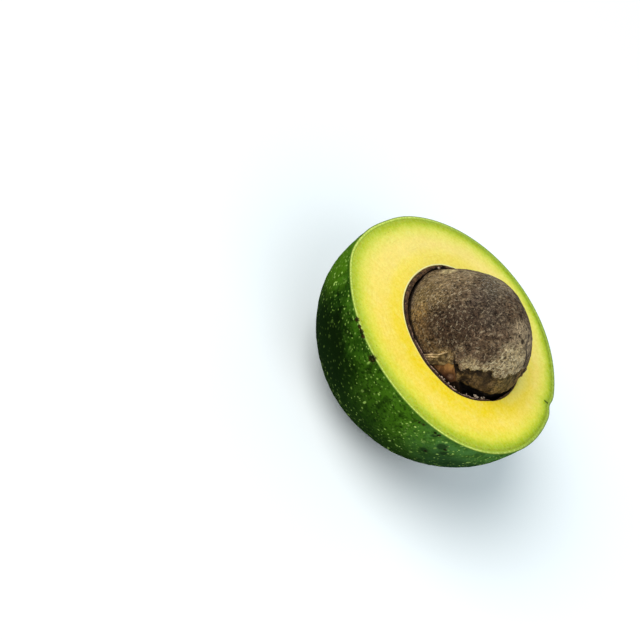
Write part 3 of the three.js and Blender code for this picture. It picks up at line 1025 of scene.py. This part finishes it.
flap = make_flap()
flap.data.materials.append(paint_flap())

# --------------
# Crumbs. Dry, pale bits of seed coat and seed skin that the knife broke off. They stick to the
# top of the coat, most of them along its torn edge on the near side.
# --------------
# Turn round the cavity's axis in degrees, distance in from the coat's outside, and size.
CRUMBS = (
    (-96, 1.0, 0.36), (-93.5, 1.2, 0.24), (-89, 1.1, 0.26), (-83, 1.2, 0.2), (-71, 0.9, 0.24),
    (-62, 1.6, 0.5), (-60, 1.3, 0.36), (-55, 1.2, 0.34), (-52.5, 1.5, 0.26), (133, 1.0, 0.42),
)


def make_crumbs():
    bm = bmesh.new()
    for turn, inset, size in CRUMBS:
        way = on_globe(turn, 0, 1)
        middle = CAVITY_AXIS + way * (CAVITY_RADIUS - GAP - inset) + Vector((0, 0, FACE_Z + 0.3))
        made = bmesh.ops.create_icosphere(bm, subdivisions=3, radius=1)
        for vert in made["verts"]:
            lumpy = 1 + 0.9 * noise.noise(vert.co * 1.3 + middle)
            lumpy += 0.3 * noise.noise(vert.co * 4 + middle)
            flat = Vector((vert.co.x * 1.2, vert.co.y, vert.co.z * 0.8))
            vert.co = middle + flat * size * lumpy
    bmesh.ops.recalc_face_normals(bm, faces=bm.faces)
    return finished(bm, "crumbs", "seed_coat", "seed_coat")


def paint_crumbs():
    paint = Paint("pale crumbs", Specular_IOR_Level=0.2)
    dust = paint.noise(0.35, 3, 0.7)
    color = paint.mix(dust.between(0.35, 0.65), linear(104, 84, 66), linear(190, 172, 152))
    paint.feed(Base_Color=color, Roughness=0.6 + dust * 0.3, Normal=paint.bump(dust, 0.1))
    return paint.material


crumbs = make_crumbs()
crumbs.data.materials.append(paint_crumbs())

# --------------
# Studio. A plain pale floor, two wide soft lights from above and in front, a pale sky, and the
# camera, which looks down at the cut face and is rolled to one side.
# --------------
FOCUS = Vector((1.18, -0.15, FACE_Z)) * MM
# The frame's side, and where the middle of the face lies in it, in pixels.
FRAME = 640
FACE_PIXEL = (457.1, 329.7)
LENS, SENSOR = 85, 36
DISTANCE = 0.5676
AZIMUTH, ELEVATION, ROLL = math.radians(-24.33), math.radians(37.32), math.radians(54.83)

back = Vector((
    math.sin(AZIMUTH) * math.cos(ELEVATION),
    -math.cos(AZIMUTH) * math.cos(ELEVATION),
    math.sin(ELEVATION),
))
pixels = LENS / SENSOR * FRAME
aside = Vector(((FACE_PIXEL[0] - FRAME / 2) / pixels, (FRAME / 2 - FACE_PIXEL[1]) / pixels, -1))
aim = Vector((0, 0, -1)).rotation_difference(aside)
camera = bpy.data.objects.new("camera", bpy.data.cameras.new("camera"))
camera.data.lens, camera.data.sensor_width = LENS, SENSOR
camera.data.clip_start = 0.01
camera.rotation_mode = "QUATERNION"
straight = back.to_track_quat("Z", "Y") @ Quaternion((0, 0, 1), ROLL)
camera.location = FOCUS + back * DISTANCE
camera.rotation_quaternion = straight @ aim.inverted()
bpy.context.scene.collection.objects.link(camera)
bpy.context.scene.camera = camera

FLOOR_RADIUS, FLOOR_SIDES = 6, 96
floor_mesh = bmesh.new()
bmesh.ops.create_circle(floor_mesh, cap_ends=True, segments=FLOOR_SIDES, radius=FLOOR_RADIUS)
floor = bpy.data.objects.new("floor", bpy.data.meshes.new("floor"))
floor_mesh.to_mesh(floor.data)
floor_mesh.free()
bpy.context.scene.collection.objects.link(floor)
floor.data.materials.append(
    Paint("floor", Base_Color=(0.95, 0.98, 1, 1), Roughness=0.3).material
)


def soft_sun(name, toward_right, toward_up, toward_back, strength, spread, color):
    """A wide, far light from a direction given as the camera sees it."""
    lamp = bpy.data.objects.new(name, bpy.data.lights.new(name, "SUN"))
    lamp.data.energy, lamp.data.angle, lamp.data.color = strength, math.radians(spread), color
    lamp.rotation_mode = "QUATERNION"
    way = straight @ Vector((toward_right, toward_up, toward_back))
    lamp.rotation_quaternion = way.to_track_quat("Z", "Y")
    bpy.context.scene.collection.objects.link(lamp)


soft_sun("key", -0.05, 0.62, 0.78, 2.6, 50, (1, 0.985, 0.955))
soft_sun("front", 0.5, -0.3, 0.8, 1.05, 50, (1, 0.985, 0.98))

world = bpy.data.worlds.new("studio")
bpy.context.scene.world = world
world.use_nodes = True
world.node_tree.nodes["Background"].inputs["Color"].default_value = (0.74, 0.92, 1, 1)
world.node_tree.nodes["Background"].inputs["Strength"].default_value = 0.42
bpy.context.scene.view_settings.view_transform = "Standard"
